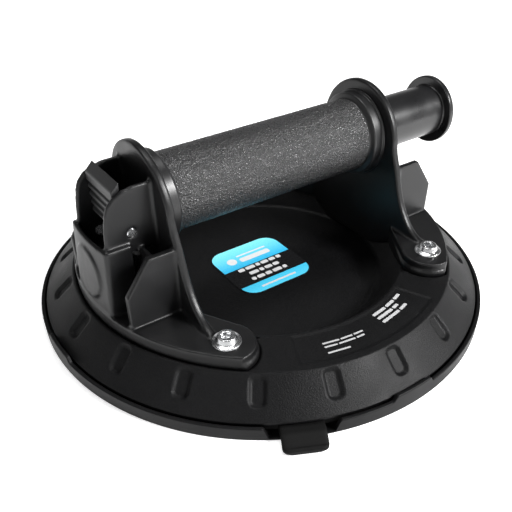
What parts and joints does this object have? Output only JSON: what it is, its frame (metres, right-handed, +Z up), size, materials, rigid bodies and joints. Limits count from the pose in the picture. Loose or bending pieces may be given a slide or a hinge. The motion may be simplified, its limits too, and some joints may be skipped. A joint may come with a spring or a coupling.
{
  "type": "vacuum suction lifter",
  "caption": "Hand-pumped vacuum suction lifter: round rubber cup under a dished shell, bridge grip with a pump plunger in it, thumb release lever, press-on cover.",
  "frame": {"origin": "on the floor under the centre of the cup, at the underside of the protective cover", "axes": "+X along the grip towards the pump plunger, +Z up, +Y to the left of the plunger's end"},
  "size_m": [0.212, 0.212, 0.087],
  "materials": {
    "cover_plastic": "satin moulded",
    "pad_rubber": "matte moulded",
    "plate_steel": "zinc plated",
    "screw_steel": "bright stainless",
    "shell_plastic": "fine grained moulded",
    "frame_plastic": "satin moulded",
    "grip_plastic": "leather-grained moulded",
    "lever_plastic": "satin moulded",
    "plunger_plastic": "smooth moulded",
    "pump_aluminium": "drawn",
    "pump_plastic": "natural acetal",
    "valve_brass": "turned",
    "seal_rubber": "moulded",
    "tube_rubber": "extruded silicone",
    "filter_felt": "felt",
    "label_print": "printed film"
  },
  "bodies": {
    "cup": {"base_shell": "shell_plastic", "dish_pan": "shell_plastic", "suction_pad": "pad_rubber", "backing_plate": "plate_steel", "threaded_bushes": "plate_steel", "port_filter": "filter_felt", "port_gasket": "seal_rubber", "label": "label_print", "left_frame": "frame_plastic", "right_frame": "frame_plastic", "frame_screws": "screw_steel", "grip": "grip_plastic", "pump_barrel": "pump_aluminium", "pump_end_cap": "pump_plastic", "cap_o_ring": "seal_rubber", "intake_valve": "seal_rubber", "guide_bush": "pump_plastic", "return_spring": "plate_steel", "elbow_fitting": "valve_brass", "port_fitting": "screw_steel", "vacuum_tube": "tube_rubber", "valve_seat": "valve_brass", "valve_spring": "plate_steel", "valve_bridge": "frame_plastic", "lever_pin": "screw_steel"},
    "cover": {"protective_cover": "cover_plastic"},
    "plunger": {"plunger": "plunger_plastic", "piston_head": "pump_plastic", "piston_seal": "seal_rubber", "stop_ring": "pump_plastic", "exhaust_valve": "seal_rubber"},
    "lever": {"thumb_lever": "lever_plastic"},
    "valve": {"valve_stem": "screw_steel", "valve_poppet": "seal_rubber"}
  },
  "joints": [
    {"name": "plunger_stroke", "type": "slide", "parent": "cup", "child": "plunger", "axis": [-1, 0, 0], "range_m": [0, 0.036], "stiffness_N_per_m": 250, "springref_m": -0.03, "deforming": ["return_spring"]},
    {"name": "release_lever", "type": "hinge", "parent": "cup", "child": "lever", "pos_m": [-0.0705, 0, 0.0586], "axis": [0, 1, 0], "range_deg": [0, 20], "stiffness_Nm_per_rad": 0.1, "springref_deg": -17.19},
    {"name": "valve_lift", "type": "slide", "parent": "cup", "child": "valve", "axis": [0, 0, 1], "range_m": [0, 0.0023], "deforming": ["valve_spring"]},
    {"name": "cover_off", "type": "slide", "parent": "cup", "child": "cover", "axis": [0, 0, -1], "range_m": [0, 0.02]}
  ],
  "couplings": [
    {"joint": "release_lever", "follows": "valve_lift", "rad_per_m": 151.7}
  ]
}
